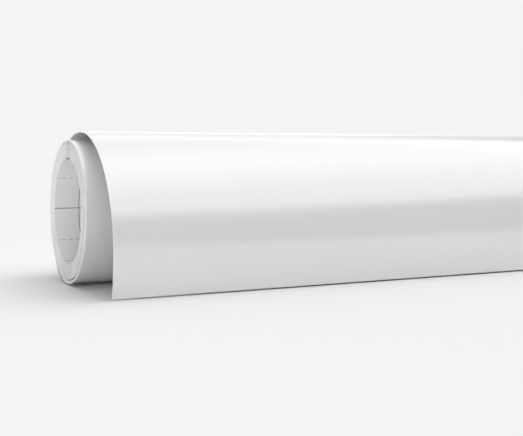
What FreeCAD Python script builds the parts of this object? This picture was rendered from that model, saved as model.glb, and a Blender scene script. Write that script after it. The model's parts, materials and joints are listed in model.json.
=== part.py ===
import FreeCAD, Part
import math
import os
from FreeCAD import Vector

# Roll of self-adhesive sign vinyl, wound on itself with no tube in its middle.
# The web is three plies: a PVC film outside, a coat of adhesive, and a release liner inside.
# X runs along the roll, -Y is the front, where the loose flap comes down, and Z is up.
# The origin is in the middle of the base: the roll lies on the plane Z = 0.

# The web, millimetres. Each ply is about twice its real thickness, so that it stays a handy solid.
WEB_WIDTH = 610.0
FILM_T = 0.18
ADHESIVE_T = 0.10
LINER_T = 0.22
WEB_T = FILM_T + ADHESIVE_T + LINER_T

# The wound pack. Its bore takes a 3 inch holder.
BORE_R = 38.1
ROLL_R = 52.0
CENTRE_LAP_T = WEB_T
PACK_R = 49.3
PACK_CLEARANCE = 0.1
SLEEVE_CLEARANCE = 0.05
SLEEVE_RADII = [PACK_R, 46.9, 44.5, 41.3, BORE_R]

# The loose turn stands away from the pack and sits a little off it along the roll.
LOOSE_SHIFT = 7.0
TOP_ARC_R = 1.565 * ROLL_R
TOP_ARC_FORWARD = 0.155 * ROLL_R
TOP_ARC_Z = 0.545 * ROLL_R
TOP_ARC_END = 135.0
TUCK_ARC_R = 2.6 * ROLL_R
FLOOR_RUN_END = 0.16 * ROLL_R

# The flap hangs from the shoulder of the loose turn, and its film peels from the free edge up.
FLAP_HINGE_ANGLE = 62.0
PEEL_LENGTH = 60.0
SEAM_GAP = 0.30
RELEASE_GAP = 0.02
FACE_SPAN = 4.0

# Lengths that follow from those.
BACK_ARC_HEIGHT = TOP_ARC_Z + TOP_ARC_R * math.sin(math.radians(TOP_ARC_END))
BACK_ARC_R = BACK_ARC_HEIGHT / (1.0 + math.sin(math.radians(TOP_ARC_END)))
BACK_ARC_FORWARD = TOP_ARC_FORWARD + (TOP_ARC_R - BACK_ARC_R) * math.cos(math.radians(TOP_ARC_END))
FRONT_REACH = TOP_ARC_FORWARD + TOP_ARC_R
BACK_REACH = BACK_ARC_R - BACK_ARC_FORWARD
AXIS_Y = (FRONT_REACH - BACK_REACH) / 2.0
AXIS_Z = ROLL_R
ROLL_X0 = -(WEB_WIDTH + LOOSE_SHIFT) / 2.0
LOOSE_X0 = ROLL_X0 + LOOSE_SHIFT
TUCK_ANGLE = -math.degrees(math.asin(TOP_ARC_Z / TUCK_ARC_R))
TUCK_FORWARD = FRONT_REACH - TUCK_ARC_R
PEEL_ANGLE = math.degrees((PEEL_LENGTH - TUCK_ARC_R * math.radians(-TUCK_ANGLE)) / TOP_ARC_R)
HALF_SEAM = math.degrees(SEAM_GAP / 2.0 / TOP_ARC_R)

# Arcs of the loose turn's outer face: how far forward the centre is, its height and the radius.
TOP_ARC = (TOP_ARC_FORWARD, TOP_ARC_Z, TOP_ARC_R)
BACK_ARC = (BACK_ARC_FORWARD, BACK_ARC_R, BACK_ARC_R)
TUCK_ARC = (TUCK_FORWARD, TOP_ARC_Z, TUCK_ARC_R)


def section_point(forward, height):
    """A point of the cross-section, forward of the roll's axis and above the base."""
    return Vector(LOOSE_X0, AXIS_Y - forward, height)


def arc_point(arc, depth, angle):
    """The point of an arc at an angle up from straight forward, a depth inside the outer face."""
    forward, height, radius = arc
    turn = math.radians(angle)
    reach = radius - depth
    return section_point(forward + reach * math.cos(turn), height + reach * math.sin(turn))


def arc_edges(arc, depth, start, end):
    """The arc between two angles, a depth inside the outer face, as short arcs of one span each."""
    count = math.ceil(abs(end - start) / FACE_SPAN)
    span = (end - start) / count
    edges = []
    for number in range(count):
        angles = [start + span * (number + share) for share in (0.0, 0.5, 1.0)]
        points = [arc_point(arc, depth, angle) for angle in angles]
        edges.append(Part.Arc(*points).toShape())
    return edges


def path_edges(stretches, depth):
    """A stretch of the web at one depth: each entry is an arc with its angles, or a floor run."""
    edges = []
    for arc, start, end in stretches:
        if arc is None:
            edges.append(Part.makeLine(section_point(start, depth), section_point(end, depth)))
        else:
            edges.extend(arc_edges(arc, depth, start, end))
    return edges


def ply(stretches, outer_depth, inner_depth):
    """One ply of the web between two depths, along the given stretches, as wide as the web."""
    outer = path_edges(stretches, outer_depth)
    inner = path_edges(stretches, inner_depth)
    ends = []
    for at in (0, -1):
        ends.append(Part.makeLine(outer[at].Vertexes[at].Point, inner[at].Vertexes[at].Point))
    wire = Part.Wire(outer + [ends[1]] + inner[::-1] + [ends[0]])
    return Part.Face(wire).extrude(Vector(WEB_WIDTH, 0, 0))


def ring(inner_r, outer_r):
    """A wound layer of the tight roll, a tube about the roll's axis."""
    base = Vector(ROLL_X0, AXIS_Y, AXIS_Z)
    along = Vector(1, 0, 0)
    outer = Part.makeCylinder(outer_r, WEB_WIDTH, base, along)
    inner = Part.makeCylinder(inner_r, WEB_WIDTH, base, along)
    return outer.cut(inner)


def web_plies(prefix, stretches, with_liner=True):
    """Film, adhesive and liner of one stretch of the loose turn, from the outside in."""
    depths = [("film", 0.0, FILM_T), ("adhesive", FILM_T, FILM_T + ADHESIVE_T)]
    if with_liner:
        depths.append(("liner", FILM_T + ADHESIVE_T, WEB_T))
    return {prefix + "_" + name: ply(stretches, outer, inner) for name, outer, inner in depths}


def lap_plies(prefix, inner_r):
    """Film, adhesive and liner of one whole lap of the tight roll, from the inside out."""
    film_r = inner_r + LINER_T + ADHESIVE_T
    return {
        prefix + "_liner": ring(inner_r, inner_r + LINER_T),
        prefix + "_adhesive": ring(inner_r + LINER_T, film_r),
        prefix + "_film": ring(film_r, film_r + FILM_T),
    }


def loose_turn():
    """The turn that has come loose, from the shoulder back over the roll and under it."""
    stretches = [
        (TOP_ARC, FLAP_HINGE_ANGLE + HALF_SEAM, TOP_ARC_END),
        (BACK_ARC, TOP_ARC_END, 270.0),
        (None, BACK_ARC_FORWARD, -FLOOR_RUN_END),
    ]
    return web_plies("loop", stretches)


def flap():
    """The front flap: its liner runs to the free edge, its own film stops at the peel line."""
    to_peel_line = [(TOP_ARC, FLAP_HINGE_ANGLE - HALF_SEAM, PEEL_ANGLE + HALF_SEAM)]
    to_edge = [(TOP_ARC, FLAP_HINGE_ANGLE - HALF_SEAM, 0.0), (TUCK_ARC, 0.0, TUCK_ANGLE)]
    nodes = web_plies("flap", to_peel_line, with_liner=False)
    nodes["flap_liner"] = ply(to_edge, FILM_T + ADHESIVE_T, WEB_T)
    return nodes


def peel_edge():
    """The film along the free edge with its adhesive, which lifts off the liner."""
    stretches = [(TOP_ARC, PEEL_ANGLE - HALF_SEAM, 0.0), (TUCK_ARC, 0.0, TUCK_ANGLE)]
    return {
        "peel_film": ply(stretches, 0.0, FILM_T),
        "peel_adhesive": ply(stretches, FILM_T, FILM_T + ADHESIVE_T - RELEASE_GAP),
    }


def outer_band():
    """The outermost tight turns, which the pack turns in: many laps, and the last one ply by ply."""
    last_lap_r = ROLL_R - WEB_T
    nodes = {"outer_turns": ring(PACK_R + PACK_CLEARANCE, last_lap_r)}
    nodes.update(lap_plies("outer_lap", last_lap_r))
    return nodes


def wound_pack():
    """Four nested sleeves of tight turns, each in two halves, down to the lap that lines the bore."""
    nodes = lap_plies("bore_lap", BORE_R)
    for number, outer_r in enumerate(SLEEVE_RADII[:-1], start=1):
        innermost = number == len(SLEEVE_RADII) - 1
        inner_r = SLEEVE_RADII[number] + (CENTRE_LAP_T if innermost else SLEEVE_CLEARANCE)
        middle_r = (inner_r + outer_r) / 2.0
        nodes["sleeve_%d_outside" % number] = ring(middle_r, outer_r)
        nodes["sleeve_%d_inside" % number] = ring(inner_r, middle_r)
    return nodes


os.makedirs("parts", exist_ok=True)
for piece in (loose_turn(), flap(), peel_edge(), outer_band(), wound_pack()):
    for name, shape in piece.items():
        shape.exportStep("parts/" + name + ".step")
        print("%-18s %10.1f mm3 valid %s" % (name, shape.Volume, shape.isValid()))

hinge = arc_point(TOP_ARC, 0.0, FLAP_HINGE_ANGLE)
peel = arc_point(TOP_ARC, 0.0, PEEL_ANGLE)
print("roll axis  Y %.4f  Z %.4f" % (AXIS_Y, AXIS_Z))
print("flap hinge Y %.4f  Z %.4f" % (hinge.y, hinge.z))
print("peel line  Y %.4f  Z %.4f" % (peel.y, peel.z))
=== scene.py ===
import json
import math

import bpy
import numpy as np
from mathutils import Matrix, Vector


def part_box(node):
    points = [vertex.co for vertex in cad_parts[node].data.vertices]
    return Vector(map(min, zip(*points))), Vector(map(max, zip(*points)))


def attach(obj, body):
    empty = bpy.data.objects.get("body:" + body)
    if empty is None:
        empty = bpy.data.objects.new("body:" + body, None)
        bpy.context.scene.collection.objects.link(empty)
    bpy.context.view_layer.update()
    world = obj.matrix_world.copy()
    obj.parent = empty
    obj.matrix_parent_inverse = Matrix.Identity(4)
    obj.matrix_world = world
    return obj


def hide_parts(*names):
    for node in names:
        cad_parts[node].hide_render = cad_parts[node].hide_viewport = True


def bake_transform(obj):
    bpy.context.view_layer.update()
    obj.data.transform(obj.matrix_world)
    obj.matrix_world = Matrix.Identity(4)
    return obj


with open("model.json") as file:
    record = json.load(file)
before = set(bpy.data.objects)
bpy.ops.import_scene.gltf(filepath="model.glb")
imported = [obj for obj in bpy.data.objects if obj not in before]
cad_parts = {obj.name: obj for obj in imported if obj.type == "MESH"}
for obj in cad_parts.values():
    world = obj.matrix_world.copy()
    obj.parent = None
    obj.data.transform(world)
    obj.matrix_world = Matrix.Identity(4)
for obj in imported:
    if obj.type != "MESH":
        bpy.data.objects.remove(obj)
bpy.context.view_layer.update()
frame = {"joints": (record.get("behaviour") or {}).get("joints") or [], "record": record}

joints = {joint["name"]: joint for joint in frame["joints"]}
mounts = {mount["name"]: mount for mount in frame["record"]["mounts"]}


# ---- The lap that lines the bore ----
# The first turn of the web is wound on nothing: there is no tube. Its release liner faces in, so the printed
# back of the liner is the wall of the bore, with the film and its adhesive behind it.

INCH = 0.0254
AXIS = np.array(joints["roll_turn"]["pos_m"][1:])
BORE_R = mounts["roll_bore"]["dims"]["r_mm"] / 1000.0
ROLL_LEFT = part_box("bore_lap_liner")[0][0]
ROLL_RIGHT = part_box("bore_lap_liner")[1][0]
ROLL_R = (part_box("outer_lap_film")[1][2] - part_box("outer_lap_film")[0][2]) / 2.0
WEB_WIDTH = ROLL_RIGHT - ROLL_LEFT
WEB_T = 0.0005
FILM_DEPTHS = (0.0, 0.00018)
ADHESIVE_DEPTHS = (0.00018, 0.00028)
LINER_DEPTHS = (0.00028, WEB_T)
CUT_BEVEL = 0.000025
SHARP_ANGLE = math.radians(28.0)
SEAM = math.radians(-35.0)
SPIRAL_CLIMB = 0.00025
TOP_SAG = (88.0, 15.0, 0.0012)


class Value:
    """One number or vector on its way through a finish, so that shader maths reads as a formula."""

    def __init__(self, finish, socket):
        self.finish = finish
        self.socket = socket

    def maths(self, operation, *values):
        return self.finish.add("ShaderNodeMath", {"operation": operation}, dict(enumerate(values)))

    def __add__(self, other):
        return self.maths("ADD", self, other)

    def __sub__(self, other):
        return self.maths("SUBTRACT", self, other)

    def __rsub__(self, other):
        return self.maths("SUBTRACT", other, self)

    def __mul__(self, other):
        return self.maths("MULTIPLY", self, other)

    def __truediv__(self, other):
        return self.maths("DIVIDE", self, other)

    def __lt__(self, other):
        return self.maths("LESS_THAN", self, other)

    def __abs__(self):
        return self.maths("ABSOLUTE", self)

    __radd__ = __add__
    __rmul__ = __mul__

    def fraction(self):
        return self.maths("FRACT", self)

    def most(self, other):
        return self.maths("MAXIMUM", self, other)

    def kept(self, low, high):
        """The value kept between two limits."""
        return self.maths("MINIMUM", self.maths("MAXIMUM", self, low), high)


class Finish:
    """A material in the making: add() puts in any node, and the rest are its few everyday uses."""

    def __init__(self, name, **constants):
        self.material = bpy.data.materials.new(name)
        self.material.use_nodes = True
        self.tree = self.material.node_tree
        self.shader = self.tree.nodes["Principled BSDF"]
        for key, value in constants.items():
            self.shader.inputs[key.replace("_", " ")].default_value = value

    def feed(self, socket, value):
        if isinstance(value, Value):
            self.tree.links.new(value.socket, socket)
        else:
            socket.default_value = value

    def add(self, kind, settings, inputs, output=0):
        """One node: its type, its settings, then the values or links of its sockets."""
        node = self.tree.nodes.new(kind)
        for key, value in settings.items():
            setattr(node, key, value)
        for key, value in inputs.items():
            self.feed(node.inputs[key], value)
        return Value(self, node.outputs[output])

    def set(self, socket, value):
        self.feed(self.shader.inputs[socket], value)

    def web(self, scale=(1.0, 1.0)):
        """The place on the web in metres, along its length and across its width, stretched by a scale."""
        place = self.add("ShaderNodeUVMap", {"uv_map": "web"}, {})
        return self.add("ShaderNodeMapping", {}, {"Vector": place, "Scale": (*scale, 1.0)})

    def along_and_across(self):
        """The two halves of the place on the web, each as a number of metres."""
        return [self.add("ShaderNodeSeparateXYZ", {}, {0: self.web()}, output=axis) for axis in (0, 1)]

    def noise(self, scale, detail=2.0):
        """Smooth noise on the web, from 0 to 1, with so many lumps a metre along and across."""
        inputs = {"Vector": self.web(scale), "Scale": 1.0, "Detail": detail}
        return self.add("ShaderNodeTexNoise", {"noise_dimensions": "2D"}, inputs)

    def blend(self, share, first, second):
        """The first colour where the share is 0, the second where it is 1."""
        inputs = {0: share, 6: first, 7: second}
        return self.add("ShaderNodeMix", {"data_type": "RGBA"}, inputs, output=2)

    def bump(self, height, depth, strength=1.0):
        inputs = {"Height": height, "Distance": depth, "Strength": strength}
        self.set("Normal", self.add("ShaderNodeBump", {}, inputs))


def white_film():
    """Calendered white PVC: even gloss with a faint orange peel, and fainter streaks along the web."""
    gloss = {"Specular_IOR_Level": 0.75, "Coat_Weight": 1.0, "Coat_Roughness": 0.13, "Coat_IOR": 1.55}
    cool_white = (0.708, 0.711, 0.713, 1.0)
    warm_white = (0.728, 0.728, 0.725, 1.0)
    finish = Finish("white_film", **gloss)
    cloud = finish.noise((14.0, 9.0))
    finish.set("Base Color", finish.blend(cloud, cool_white, warm_white))
    streaks = finish.noise((6.0, 420.0), detail=3.0)
    finish.set("Roughness", 0.20 + 0.05 * streaks + 0.02 * cloud)
    peel = finish.noise((620.0, 560.0), detail=1.0)
    finish.bump(peel, 0.00002, strength=0.25)
    return finish.material


def grid_ink(along, across):
    """Ink of the liner's inch grid. Solid lines stand two inches apart both ways, and dashed ones midway."""
    spacing = 2.0 * INCH
    line_half = 0.00024
    soft_edge = 0.3 * line_half
    dash_pitch = 0.0055
    dash_share = 0.48
    dash_from = -0.0041

    def line(place):
        """1 on lines two inches apart, 0 away from them: how near the place is to the closest one."""
        gap = abs((place / spacing + 0.5).fraction() - 0.5) * spacing
        return ((line_half - gap) / soft_edge + 0.5).kept(0.0, 1.0)

    def dash(place):
        """1 on the dashes, which are nearly half of the dash pitch long."""
        return ((place - dash_from) / dash_pitch).fraction() < dash_share

    solid = line(along).most(line(across))
    dashed = (line(along + INCH) * dash(across)).most(line(across + INCH) * dash(along))
    return solid, dashed


def printed_liner():
    """Silicone coated paper: a dull off-white sheet with fine fibres, and a dark green inch grid on its
    back. The first line along the web lies a little way in from the left edge."""
    dull_paper = (0.865, 0.875, 0.868, 1.0)
    bright_paper = (0.925, 0.928, 0.922, 1.0)
    pale_ink = (0.30, 0.35, 0.34, 1.0)
    green_ink = (0.045, 0.135, 0.105, 1.0)
    first_line = 0.0188
    finish = Finish("printed_liner", Specular_IOR_Level=0.4)
    fibres = finish.noise((900.0, 2600.0), detail=4.0)
    cloud = finish.noise((60.0, 45.0), detail=3.0)
    paper = finish.blend(0.6 * cloud + 0.4 * fibres, dull_paper, bright_paper)
    along, across = finish.along_and_across()
    solid, dashed = grid_ink(along, across - first_line)
    marked = finish.blend(dashed, paper, pale_ink)
    finish.set("Base Color", finish.blend(solid, marked, green_ink))
    finish.set("Roughness", 0.46 + 0.10 * cloud)
    finish.bump(fibres, 0.00002, strength=0.4)
    return finish.material


def release_side():
    """The liner's other side, which holds the adhesive until it is peeled: a thin, even coat of silicone on
    the paper, glossy, unprinted and very slightly blue, through which the paper's cloudiness just shows."""
    thin_coat = (0.81, 0.82, 0.83, 1.0)
    thick_coat = (0.85, 0.86, 0.865, 1.0)
    finish = Finish("release_side", Specular_IOR_Level=0.45)
    cloud = finish.noise((60.0, 45.0), detail=3.0)
    finish.set("Base Color", finish.blend(cloud, thin_coat, thick_coat))
    finish.set("Roughness", 0.17 + 0.08 * cloud)
    finish.bump(finish.noise((700.0, 1500.0), detail=2.0), 0.00001, strength=0.4)
    return finish.material


def clear_adhesive():
    """The coat of adhesive: smooth, wet looking and slightly grey, with fine crossed channels that let air
    out. A channel's wall slopes down between two distances from the middle of its diamond."""
    coat = (0.70, 0.71, 0.705, 1.0)
    channel_floor = (0.62, 0.63, 0.625, 1.0)
    pitch = 0.0016
    wall_from = 0.42
    wall_width = 0.06
    finish = Finish("clear_adhesive", Specular_IOR_Level=0.5)
    along, across = finish.along_and_across()
    one_way = abs(((along + across) / pitch).fraction() - 0.5)
    other_way = abs(((along - across) / pitch).fraction() - 0.5)
    channel = ((one_way.most(other_way) - wall_from) / wall_width).kept(0.0, 1.0)
    finish.set("Base Color", finish.blend(channel, coat, channel_floor))
    finish.set("Roughness", 0.15 + 0.11 * channel)
    finish.bump(1.0 - channel, 0.00003, strength=0.6)
    return finish.material


def cut_edge():
    """The knife cut edge of the web: matt, with the fine drag lines of the slitting blade."""
    scored = (0.74, 0.74, 0.735, 1.0)
    clean = (0.80, 0.80, 0.795, 1.0)
    finish = Finish("cut_edge", Specular_IOR_Level=0.35)
    drag = finish.noise((260.0, 30.0), detail=3.0)
    finish.set("Base Color", finish.blend(drag, scored, clean))
    finish.set("Roughness", 0.50 + 0.15 * drag)
    return finish.material


FILM = white_film()
LINER = printed_liner()
RELEASE = release_side()
ADHESIVE = clear_adhesive()
CUT = cut_edge()
FILM_FACES = [FILM, CUT, FILM]
ADHESIVE_FACES = [ADHESIVE, CUT, ADHESIVE]
LINER_FACES = [RELEASE, CUT, LINER]


def lap_line(angles, radii):
    """Points (y, z) a radius out from the roll's axis at an angle up from straight forward, and the unit
    directions from them to the axis."""
    out = np.stack([-np.cos(angles), np.sin(angles)], axis=1)
    return AXIS + out * radii[:, None], -out


def crescent(angles, middle, half_width, depth):
    """A gap that opens smoothly either side of a middle angle: depth times the square of a cosine. The
    middle and the half width are in degrees."""
    away = (angles - math.radians(middle) + math.pi) % (2.0 * math.pi) - math.pi
    share = np.clip(away / math.radians(half_width), -1.0, 1.0)
    return depth * np.cos(share * math.pi / 2.0) ** 2


def web_sheet(name, line, inward, depths, left, finishes, columns=1, printed_from=0.0, wave=None):
    """A stretch of web, or one ply of it, as a closed sheet.

    The line gives the outer face of the web in the cross-section, a row a point, and inward its unit normal.
    Each row carries a rectangle from one depth to the other and a web's width from `left`, its corners cut
    off by the bevel; the rows are joined by quads, and the two ends are closed by quads across the sheet.
    A wave moves the rows outwards by a function of the place along and across the web. The map "web" gives
    that place in metres, counted along the web from `printed_from`. Faces are finished by zone: outer face,
    cut edges, inner face."""
    rows = len(line)
    along = np.concatenate([[0.0], np.cumsum(np.linalg.norm(np.diff(line, axis=0), axis=1))])
    along = along[:, None] + printed_from
    face = np.linspace(CUT_BEVEL, WEB_WIDTH - CUT_BEVEL, columns + 1)
    across = np.concatenate([face, [WEB_WIDTH] * 2, face[::-1], [0.0] * 2])
    top, bottom = depths
    sides = [top + CUT_BEVEL, bottom - CUT_BEVEL]
    depth = np.concatenate([np.full(columns + 1, top), sides, np.full(columns + 1, bottom), sides[::-1]])
    if wave is not None:
        depth = depth - wave(along, across)
    ring = len(across)
    depth = np.broadcast_to(depth, (rows, ring))
    points = np.empty((rows, ring, 3))
    points[:, :, 0] = left[:, None] + across
    points[:, :, 1:] = line[:, None, :] + inward[:, None, :] * depth[:, :, None]

    column = np.arange(ring)
    here = np.arange(rows - 1)[:, None] * ring + column
    beside = np.arange(rows - 1)[:, None] * ring + (column + 1) % ring
    walls = np.stack([here, beside, beside + ring, here + ring], axis=-1).reshape(-1, 4)
    outer = np.arange(columns)
    last = 2 * columns + 3
    cap = np.stack([outer, outer + 1, last - outer - 1, last - outer], axis=-1)
    cap = np.vstack([cap, np.arange(columns, columns + 4), [last, last + 1, last + 2, 0]])
    faces = np.vstack([walls, cap[:, ::-1], cap + (rows - 1) * ring])
    zone = np.ones(ring, int)
    zone[:columns] = 0
    zone[columns + 3:last] = 2
    zones = np.concatenate([np.tile(zone, rows - 1), np.ones(2 * len(cap), int)])

    flat = points.reshape(-1, 3)
    a, b, c, d = (flat[faces[:, corner]] for corner in range(4))
    volume = (np.cross(a, b) * c).sum() + (np.cross(a, c) * d).sum()
    if volume < 0.0:
        faces = faces[:, ::-1]

    mesh = bpy.data.meshes.new(name)
    mesh.from_pydata(flat.tolist(), [], faces.tolist())
    for finish in finishes:
        mesh.materials.append(finish)
    mesh.polygons.foreach_set("material_index", zones)
    mesh.polygons.foreach_set("use_smooth", np.ones(len(faces), bool))
    cut = np.concatenate([face, [WEB_WIDTH, WEB_WIDTH + WEB_T], face[::-1], [-WEB_T, 0.0]])
    place = np.stack(np.broadcast_arrays(along, cut[None, :]), axis=-1).reshape(-1, 2)
    mesh.uv_layers.new(name="web").data.foreach_set("uv", place[faces.ravel()].ravel())
    mesh.set_sharp_from_angle(angle=SHARP_ANGLE)
    mesh.update()
    piece = bpy.data.objects.new(name, mesh)
    bpy.context.collection.objects.link(piece)
    return piece


def bore_lap():
    """One lap that draws in evenly, by the spiral's climb in a whole turn, to end with its inner face on the
    bore. It hangs a little off the turns outside it at the top. The print is set so that a solid line lies
    almost straight back."""
    rows = 361
    print_shift = 0.0005
    angles = np.linspace(SEAM, SEAM + 2.0 * math.pi, rows)
    climb = SPIRAL_CLIMB * (1.0 - (angles - SEAM) / (2.0 * math.pi))
    line, inward = lap_line(angles, BORE_R + WEB_T + climb - crescent(angles, *TOP_SAG))
    left = np.full(len(angles), ROLL_LEFT)
    printed_from = -(BORE_R + WEB_T) * (math.pi - SEAM) - print_shift
    plies = [
        ("bore_lap_liner_sheet", "bore_lap_liner", LINER_DEPTHS, LINER_FACES, "liner"),
        ("bore_lap_adhesive_coat", "bore_lap_adhesive", ADHESIVE_DEPTHS, ADHESIVE_FACES, "adhesive"),
        ("bore_lap_film_sheet", "bore_lap_film", FILM_DEPTHS, FILM_FACES, "film"),
    ]
    for name, node, depths, finishes, slot in plies:
        piece = web_sheet(name, line, inward, depths, left, finishes, printed_from=printed_from)
        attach(piece, "sleeve_4")
        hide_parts(node)


bore_lap()


# ---- The tight turns, in four sleeves ----
# The rest of the pack: about forty turns, wound tight, film outwards. They slip past each other in sleeves
# when the middle of the roll is pushed out. Here and there a thin crescent of air lies between two of them.

TURN_T = 0.00020
TURN_PITCH = 0.00027
ROWS_A_TURN = 200
END_GAP = 0.006
PHASE_STEP = 12.0
FRONT_GAP = (0.0, 42.0, 0.00055)
LOWER_GAP = (-44.0, 26.0, 0.00040)


def node_radius(node):
    """Half of the larger side of a node's box, seen along the roll."""
    low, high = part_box(node)
    return max(high[1] - low[1], high[2] - low[2]) / 2.0


def set_back(angles, radii):
    """How far the turns lie in from the roll's end. At the front and below, those outside a slanting line
    are set back, and those inside it stand out. The line's radius is least straight forward, and grows with
    the square of the angle from there until it leaves the roll at the bottom. Both fade out as a cosine
    either side of a middle angle."""
    least_share = 0.862
    growth = 0.058
    middle = math.radians(-30.0)
    half_width = math.radians(62.0)
    stands_out = 0.0004
    step = 0.0006
    away = (angles + math.pi) % (2.0 * math.pi) - math.pi
    line_r = ROLL_R * (least_share + growth * away ** 2)
    outside = np.clip((radii - line_r) / TURN_PITCH + 0.5, 0.0, 1.0)
    share = np.clip((away - middle) / half_width, -1.0, 1.0)
    return np.cos(share * math.pi / 2.0) * (outside * step - stands_out)


def wound_turns(name, seam, first_r, last_r, first_gap=None, last_gap=None, phase=0.0):
    """A spiral of tight turns from a seam. Its outer face falls evenly from the first radius to the last,
    which is where the next spiral begins, each taken at that angle with its crescent of air. Every turn is
    set a hair along the roll from the next, by three sine waves that come to 0.18 mm at most."""
    turns = round((first_r - last_r) / TURN_PITCH)
    angles = seam + np.linspace(END_GAP, 2.0 * math.pi * turns, turns * ROWS_A_TURN + 1)
    share = np.linspace(0.0, 1.0, len(angles))
    first = first_r - (crescent(angles, *first_gap) if first_gap else 0.0)
    last = last_r + (crescent(angles, *last_gap) if last_gap else 0.0)
    radii = first + (last - first) * share
    line, inward = lap_line(angles, radii)
    turn = (angles - seam) / (2.0 * math.pi) + phase
    slip = np.sin(turn * 2.1) * 0.00009 + np.sin(turn * 5.3 + 1.0) * 0.00006 + np.sin(turn * 11.7) * 0.00003
    slip += set_back(angles, radii)
    return web_sheet(name, line, inward, (0.0, TURN_T), ROLL_LEFT + slip, [FILM, CUT, LINER]), line


def sleeves():
    """The four sleeves from the outside in, each ending where the next one begins."""
    gaps = {1: (None, LOWER_GAP), 2: (LOWER_GAP, FRONT_GAP), 3: (FRONT_GAP, None), 4: (None, None)}
    radii = [node_radius("sleeve_%d_outside" % number) for number in (1, 2, 3, 4)]
    radii.append(BORE_R + WEB_T + SPIRAL_CLIMB)
    for number in (1, 2, 3, 4):
        name = "sleeve_%d_turns" % number
        first_r, last_r = radii[number - 1:number + 1]
        piece, line = wound_turns(name, SEAM, first_r, last_r, *gaps[number], phase=number * PHASE_STEP)
        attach(piece, "sleeve_%d" % number)
        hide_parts("sleeve_%d_outside" % number, "sleeve_%d_inside" % number)


sleeves()


# ---- The outermost tight turns ----
# The last turns that are still tight. The pack turns inside them, and low at the front they stand a little
# off it. The web that has come loose runs into them under the roll.

def outer_turns():
    """A few turns between the last lap and the pack, with a crescent of air low on their inner side."""
    clearance = 0.0001
    last_r = node_radius("sleeve_1_outside") + clearance + TURN_T
    first_r = ROLL_R - 1.5 * WEB_T
    low_gap = (-68.0, 26.0, 0.00060)
    bottom = -math.pi / 2.0
    phase = 5.0 * PHASE_STEP
    piece, line = wound_turns("outer_band_turns", bottom, first_r, last_r, None, low_gap, phase)
    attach(piece, "loose_turn")
    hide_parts("outer_turns")


outer_turns()


# ---- The loose turn and its flap ----
# The end of the web has sprung open. From its free edge on the floor in front it rises over the roll without
# touching it, comes down behind, runs in under the roll along the floor and becomes the last tight lap.

HINGE = joints["flap_lift"]["pos_m"]
FRONT_REACH = AXIS[0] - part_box("peel_film")[0][1]
TOP_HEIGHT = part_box("loop_film")[1][2]
BACK_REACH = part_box("loop_film")[1][1] - AXIS[0]
LOOSE_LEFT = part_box("loop_film")[0][0]
TUCK_R = 2.6 * ROLL_R
SHOULDER = 116.0
SPLICE = 34.0
BEND_END = 36.0
RUN_IN = 150.0
ROW_STEP = 0.0012
FLAP_COLUMNS = 48


def top_circle():
    """Centre and radius of the circle that touches the flap's foremost line and the loose turn's top, and
    passes through the hinge line: r = -(a + b) + sqrt(2 a b), for the hinge's offsets a and b from them."""
    a = AXIS[0] - HINGE[1] - FRONT_REACH
    b = HINGE[2] - TOP_HEIGHT
    radius = -(a + b) + math.sqrt(2.0 * a * b)
    return FRONT_REACH - radius, TOP_HEIGHT - radius, radius


def back_circle(top):
    """Centre and radius of the circle that lies on the floor, reaches as far back as the loose turn does
    and touches the top circle from inside: the larger root of the quadratic that those three give."""
    forward, height, radius = top
    reach = forward + BACK_REACH
    half = reach + height - radius
    own = half + math.sqrt(half ** 2 - reach ** 2 - height ** 2 + radius ** 2)
    return own - BACK_REACH, own, own


TOP = top_circle()
BACK = back_circle(TOP)
TUCK = (FRONT_REACH - TUCK_R, TOP[1], TUCK_R)
MEET_ANGLE = math.atan2(BACK[1] - TOP[1], BACK[0] - TOP[0])
TUCK_TURN = math.asin(TUCK[1] / TUCK_R)
TUCK_LENGTH = TUCK_R * TUCK_TURN
TOP_LENGTH = TOP[2] * MEET_ANGLE
BACK_LENGTH = BACK[2] * (1.5 * math.pi - MEET_ANGLE)
FLOOR_LENGTH = -BACK[0]
LAP_START = TUCK_LENGTH + TOP_LENGTH + BACK_LENGTH + FLOOR_LENGTH
LAP_END = LAP_START + 2.0 * math.pi * ROLL_R


def loose_line(along):
    """The outer face of the loose turn at distances along the web from its free edge, and its inward
    normals: the tuck arc up to the foremost line, the top arc, the back arc, the run along the floor, and
    one lap of the roll that draws in by the web's thickness."""
    over_top = along - TUCK_LENGTH
    down_back = over_top - TOP_LENGTH
    on_floor = down_back - BACK_LENGTH
    round_roll = along - LAP_START
    where = [over_top < 0.0, down_back < 0.0, on_floor < 0.0, round_roll < 0.0]
    straight_down = np.full(len(along), -math.pi / 2.0)
    turns = [over_top / TUCK_R, over_top / TOP[2], MEET_ANGLE + down_back / BACK[2], straight_down]
    turn = np.select(where, turns, round_roll / ROLL_R - math.pi / 2.0)
    lap_r = ROLL_R - WEB_T * round_roll / (LAP_END - LAP_START)
    radius = np.select(where, [TUCK_R, TOP[2], BACK[2], BACK[2]], lap_r)
    forward = np.select(where, [TUCK[0], TOP[0], BACK[0], BACK[0] + on_floor], 0.0)
    height = np.select(where, [TUCK[1], TOP[1], BACK[1], BACK[1]], ROLL_R)
    out = np.stack([-np.cos(turn), np.sin(turn)], axis=1)
    centre = np.stack([AXIS[0] - forward, height], axis=1)
    return centre + out * radius[:, None], -out


def along_top(angle):
    """Distance along the web from the free edge to an angle on the top arc."""
    return TUCK_LENGTH + TOP[2] * math.radians(angle)


def loose_left(along):
    """Where the web's left edge lies: set in from the roll's end over the top, and drawn back level with it
    by the time the web is under the roll, along a smooth step."""
    start = along_top(RUN_IN)
    share = np.clip((along - start) / (LAP_START - start), 0.0, 1.0)
    return LOOSE_LEFT + (ROLL_LEFT - LOOSE_LEFT) * share ** 2 * (3.0 - 2.0 * share)


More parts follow.
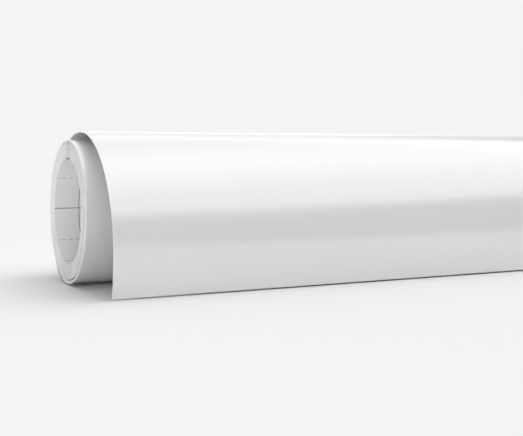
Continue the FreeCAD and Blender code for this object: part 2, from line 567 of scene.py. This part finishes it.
def handling_wave(along, across):
    """A hardly visible slackness in the free part of the web: two crossed long waves, a tenth of a
    millimetre high, that die away at the floor and behind the roll."""
    height = 0.0001
    fade_in = 0.05
    fade_out = 0.06
    last_angle = 130.0
    free = np.clip(along / fade_in, 0.0, 1.0) * np.clip((along_top(last_angle) - along) / fade_out, 0.0, 1.0)
    long_wave = np.sin(across * 21.0 + along * 9.0)
    short_wave = 0.6 * np.sin(across * 47.0 - along * 14.0 + 1.3)
    return height * free * (long_wave + short_wave)


def loose_ply(name, start, stop, depths, finishes, columns):
    """One ply of the loose turn between two distances from the free edge."""
    along = np.linspace(start, stop, math.ceil((stop - start) / ROW_STEP) + 1)
    line, inward = loose_line(along)
    piece = web_sheet(name, line, inward, depths, loose_left(along), finishes, columns, start, handling_wave)
    return piece


def top_point(angle):
    """The point of the outer face at an angle on the top arc, half way along the roll."""
    line, _ = loose_line(np.array([along_top(angle)]))
    return 0.0, float(line[0, 0]), float(line[0, 1])


def back_of_loose_turn():
    """From the shoulder back over the roll, down, under it and once round it."""
    columns = 24
    plies = [
        ("loose_film", FILM_DEPTHS, FILM_FACES, "film"),
        ("loose_adhesive", ADHESIVE_DEPTHS, ADHESIVE_FACES, "adhesive"),
        ("loose_liner", LINER_DEPTHS, LINER_FACES, "liner"),
    ]
    for name, depths, finishes, slot in plies:
        nodes = ["loop_" + slot, "outer_lap_" + slot]
        piece = loose_ply(name, along_top(SHOULDER), LAP_END, depths, finishes, columns)
        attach(piece, "loose_turn")
        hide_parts(*nodes)


def front_of_loose_turn():
    """The shoulder and the flap. The liner runs down to the free edge, and the film and its adhesive
    stop where the peeling strip begins."""
    splice = along_top(SPLICE)
    plies = [
        ("flap_film_sheet", splice, FILM_DEPTHS, FILM_FACES, "film", "flap_film"),
        ("flap_adhesive_coat", splice, ADHESIVE_DEPTHS, ADHESIVE_FACES, "adhesive", "flap_adhesive"),
        ("flap_liner_sheet", 0.0, LINER_DEPTHS, LINER_FACES, "liner", "flap_liner"),
    ]
    for name, start, depths, finishes, slot, node in plies:
        piece = loose_ply(name, start, along_top(SHOULDER), depths, finishes, FLAP_COLUMNS)
        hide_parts(node)
        top_point(BEND_END)
        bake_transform(piece)


back_of_loose_turn()
front_of_loose_turn()


# ---- The film that peels ----
# Along the free edge the film and its adhesive can be pulled off the liner, which stays where it is. That is
# how a length of vinyl is started before it is laid. A hair of air parts the adhesive from the liner.

PEEL_BEND_END = 12.0
RELEASE_GAP = 0.00002


def peeling_edge():
    """The lower part of the flap's film and adhesive, from the free edge up to the peel line."""
    coat_depths = (ADHESIVE_DEPTHS[0], ADHESIVE_DEPTHS[1] - RELEASE_GAP)
    plies = [
        ("peel_film_sheet", FILM_DEPTHS, FILM_FACES, "film", "peel_film"),
        ("peel_adhesive_coat", coat_depths, ADHESIVE_FACES, "adhesive", "peel_adhesive"),
    ]
    for name, depths, finishes, slot, node in plies:
        piece = loose_ply(name, 0.0, along_top(SPLICE), depths, finishes, FLAP_COLUMNS)
        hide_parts(node)
        top_point(PEEL_BEND_END)
        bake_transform(piece)


peeling_edge()


# ---- Floor, light and camera ----
# A plain pale floor that runs into a plain pale backdrop. The light comes from above, from behind and from
# low on the left. The camera stands level, with its lens shifted down so that upright lines stay upright.

def pale_floor():
    """A flat sheet a millimetre under the roll, far wider than the view, in a dull even white."""
    dull_white = (0.84, 0.84, 0.84, 1.0)
    half = 60.0
    height = -0.0010
    finish = Finish("pale_floor", Specular_IOR_Level=0.0, Roughness=1.0)
    finish.set("Base Color", dull_white)
    corners = [(-half, -half, height), (half, -half, height), (half, half, height), (-half, half, height)]
    mesh = bpy.data.meshes.new("floor")
    mesh.from_pydata(corners, [], [(0, 1, 2, 3)])
    mesh.materials.append(finish.material)
    floor = bpy.data.objects.new("floor", mesh)
    bpy.context.collection.objects.link(floor)


class Sky(Finish):
    """The world as a finish: the same nodes, ending in a background."""

    def __init__(self):
        world = bpy.data.worlds.new("studio_tent")
        bpy.context.scene.world = world
        world.use_nodes = True
        self.tree = world.node_tree
        self.background = self.tree.nodes["Background"]


def studio_tent():
    """Light from all round, worked out from the direction it comes from: a panel overhead that is brightest
    straight up, leans to the right and ends a third of the way up; a bright wall behind that fades upwards;
    and a low light on the left and a little to the front, which looks into the roll. The camera sees an
    even backdrop instead."""
    panel_power = 1.80
    overhead_power = 0.84
    low_power = 15.5
    wall_power = 1.36
    backdrop = 0.905
    sky = Sky()
    way = sky.add("ShaderNodeTexCoord", {}, {}, output=0)
    x, y, z = (sky.add("ShaderNodeSeparateXYZ", {}, {0: way}, output=axis) for axis in range(3))
    level = (x * x + y * y).most(0.0001)
    left = (0.0 - 0.90 * x - 0.44 * y).most(0.0)
    on_left = left * left / level
    behind = (1.4 * y.most(0.0) * y.most(0.0) / level).kept(0.0, 1.0)
    panel = ((z - 0.50) / 0.10 + 0.5).kept(0.0, 1.0)
    overhead = ((z - 0.75) / 0.25).kept(0.0, 1.0)
    low = (1.0 - z / 0.14).kept(0.0, 1.0)
    wall = 1.0 - z / 1.3
    from_right = (0.8 + 1.2 * x).kept(0.0, 1.0)
    above = (panel_power * panel * (1.0 - 0.65 * behind) + overhead_power * overhead) * from_right
    light = above + low_power * low * on_left + wall_power * wall * behind
    seen = sky.add("ShaderNodeLightPath", {}, {}, output=0)
    light = light * (1.0 - seen) + backdrop * seen
    grey = sky.add("ShaderNodeCombineColor", {}, {0: light, 1: light, 2: light})
    sky.feed(sky.background.inputs["Color"], grey)


def camera():
    """Level, a little below the roll's top and well to the left of its near end, turned towards its middle.
    Its place is given in radii of the roll: left of the roll's end, in front of its axis, and up."""
    beyond_end = 3.298
    in_front = 12.851
    up = 1.8485
    turned_right = math.radians(26.16)
    data = bpy.data.cameras.new("camera")
    data.sensor_width = 36.0
    data.lens = 64.18
    data.shift_y = -0.129
    seen_from = bpy.data.objects.new("camera", data)
    bpy.context.collection.objects.link(seen_from)
    seen_from.location = (ROLL_LEFT - beyond_end * ROLL_R, AXIS[0] - in_front * ROLL_R, up * ROLL_R)
    seen_from.rotation_euler = (math.pi / 2.0, 0.0, -turned_right)
    bpy.context.scene.camera = seen_from


pale_floor()
studio_tent()
camera()

bpy.context.scene.view_settings.view_transform = "Standard"
